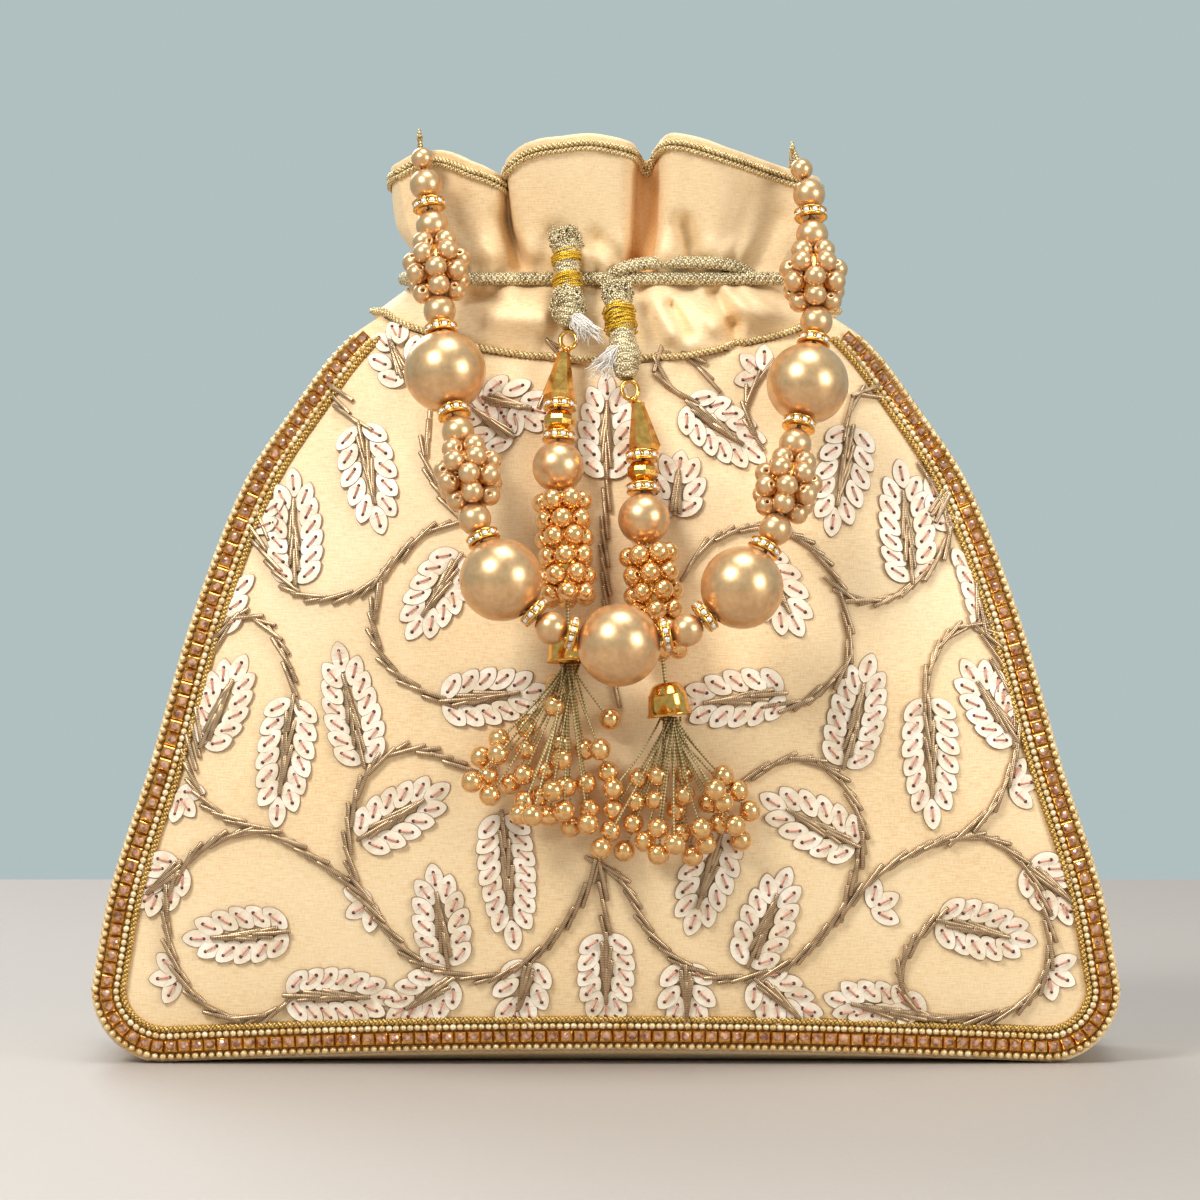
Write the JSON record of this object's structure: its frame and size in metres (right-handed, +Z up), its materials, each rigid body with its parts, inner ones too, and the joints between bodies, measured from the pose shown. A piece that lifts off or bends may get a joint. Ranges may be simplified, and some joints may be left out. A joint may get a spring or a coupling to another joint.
{
  "type": "potli bag",
  "caption": "Embroidered silk potli bag with a gathered neck, a drawstring, a pearl bead handle and bead tassels.",
  "frame": {"origin": "middle of the flat base, on the surface that the bag stands on", "axes": "+Z up, +X to the right as the embroidered front is looked at, the front faces -Y"},
  "size_m": [0.248, 0.1191, 0.2247],
  "materials": {
    "copper_bead": "pearlescent copper gold",
    "gold": "polished gold plate",
    "gold_thread": "wound metallic thread",
    "metal_cord": "metallic thread braid",
    "pearl": "pearlescent",
    "satin": "smooth satin",
    "silk": "fine dupion weave with a soft sheen",
    "trim": "seed beads and rose stones in gold cups"
  },
  "bodies": {
    "bag": {"back_panel": "silk", "back_trim": "trim", "drawstring": "metal_cord", "drawstring_end": "metal_cord", "front_panel": "silk", "front_trim": "trim", "gusset": "silk", "hem_braid": "metal_cord", "left_cord_wrap": "gold_thread", "left_handle_loop": "metal_cord", "lining": "satin", "neck_ruffle": "silk", "right_cord_wrap": "gold_thread", "right_handle_loop": "metal_cord", "yoke_braid": "metal_cord"},
    "handle": {"handle_left_cluster_12": "pearl", "handle_left_cluster_6": "pearl", "handle_left_end_16": "pearl", "handle_left_large_3": "pearl", "handle_left_large_9": "pearl", "handle_left_small_1": "pearl", "handle_left_small_11": "pearl", "handle_left_small_13": "pearl", "handle_left_small_15": "pearl", "handle_left_small_5": "pearl", "handle_left_small_7": "pearl", "handle_pearl_middle": "pearl", "handle_right_cluster_12": "pearl", "handle_right_cluster_6": "pearl", "handle_right_end_16": "pearl", "handle_right_large_3": "pearl", "handle_right_large_9": "pearl", "handle_right_small_1": "pearl", "handle_right_small_11": "pearl", "handle_right_small_13": "pearl", "handle_right_small_15": "pearl", "handle_right_small_5": "pearl", "handle_right_small_7": "pearl", "handle_strand": "gold"},
    "left_tassel": {"left_bell_cap": "gold", "left_column": "copper_bead", "left_cone": "gold", "left_faceted": "gold", "left_fringe": "copper_bead", "left_hook": "gold", "left_tassel_pearl": "pearl"},
    "right_tassel": {"right_bell_cap": "gold", "right_column": "copper_bead", "right_cone": "gold", "right_faceted": "gold", "right_fringe": "copper_bead", "right_hook": "gold", "right_tassel_pearl": "pearl"}
  },
  "joints": [
    {"name": "handle_swing", "type": "hinge", "parent": "bag", "child": "handle", "pos_m": [0, -0.0155, 0.2221], "axis": [-0.9994, 0, 0.0333], "range_deg": [0, 180]},
    {"name": "left_tassel_sway", "type": "hinge", "parent": "bag", "child": "left_tassel", "pos_m": [-0.0088, -0.028, 0.177], "axis": [0, 1, 0], "range_deg": [0, 12]},
    {"name": "right_tassel_sway", "type": "hinge", "parent": "bag", "child": "right_tassel", "pos_m": [0.005, -0.0337, 0.165], "axis": [0, -1, 0], "range_deg": [0, 12]}
  ]
}
